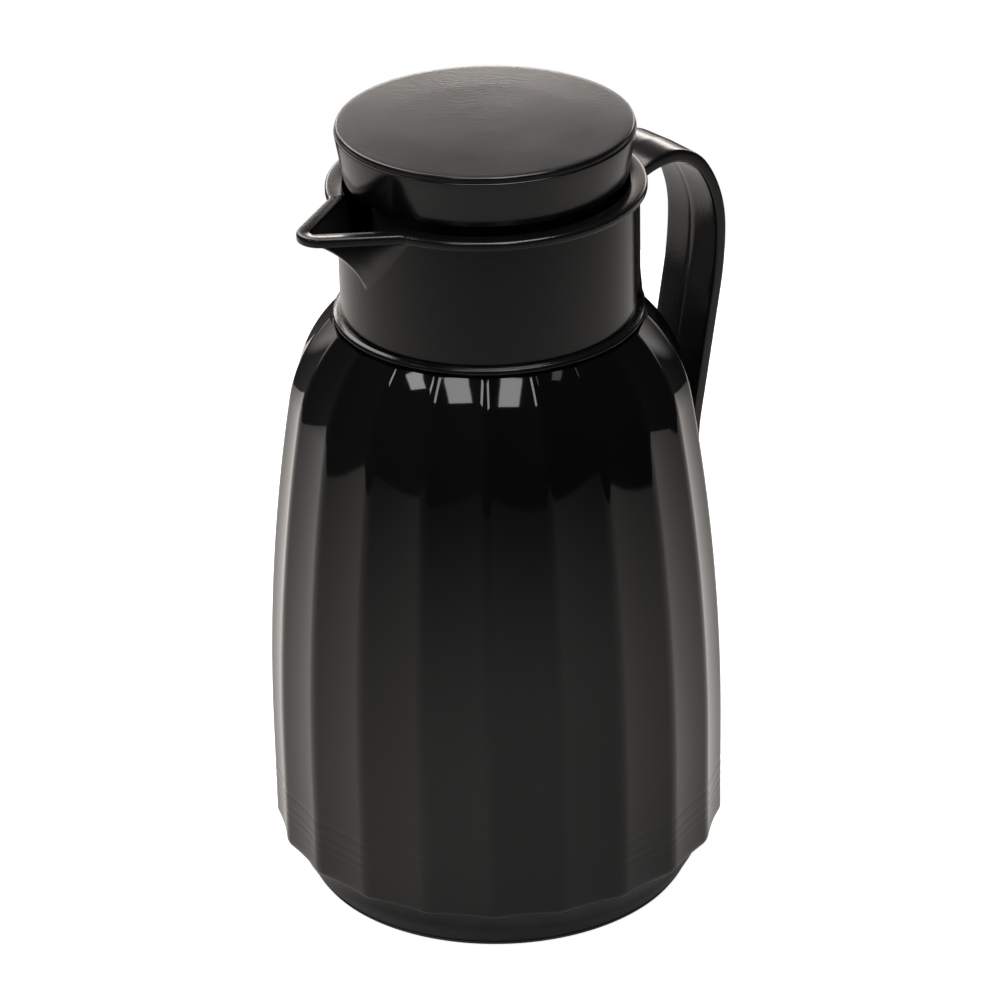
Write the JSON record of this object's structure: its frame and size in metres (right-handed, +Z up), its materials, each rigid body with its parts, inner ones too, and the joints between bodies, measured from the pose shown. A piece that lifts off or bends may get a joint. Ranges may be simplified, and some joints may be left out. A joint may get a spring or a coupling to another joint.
{
  "type": "thermal carafe with flip lid",
  "caption": "Insulated serving jug with a fluted barrel body, pouring spout, strap handle and a lid hinged at the back over a sealed glass vacuum liner.",
  "frame": {"origin": "middle of the standing face, on the jug's axis", "axes": "+Z up along the jug's axis, +X towards the handle, -X towards the spout"},
  "size_m": [0.1704, 0.1556, 0.2763],
  "materials": {
    "gloss_shell": "polished black",
    "satin_plastic": "satin black",
    "lid_plastic": "fine satin black",
    "silvered_glass": "silvered glass",
    "white_felt": "pressed fibre",
    "soft_rubber": "matt rubber",
    "clear_seal": "milky silicone",
    "white_foam": "foam",
    "screw_steel": "zinc plated"
  },
  "bodies": {
    "jug": {"outer_shell": "gloss_shell", "base_cap": "satin_plastic", "liner_outer_glass": "silvered_glass", "liner_inner_glass": "silvered_glass", "liner_pads": "white_felt", "liner_cushion": "soft_rubber", "centring_ring": "soft_rubber", "mouth_seal": "soft_rubber", "spout_collar": "satin_plastic", "neck_ring": "satin_plastic", "handle": "satin_plastic", "handle_screws": "screw_steel", "hinge_pin": "screw_steel"},
    "lid": {"lid_skirt": "satin_plastic", "lid_top_disc": "lid_plastic", "lid_foam": "white_foam", "stopper_plug": "satin_plastic", "plug_core": "white_foam", "plug_seal": "clear_seal", "plug_screws": "screw_steel"}
  },
  "joints": [
    {"name": "lid_hinge", "type": "hinge", "parent": "jug", "child": "lid", "pos_m": [0.0505, 0, 0.2585], "axis": [0, 1, 0], "range_deg": [0, 100]}
  ]
}
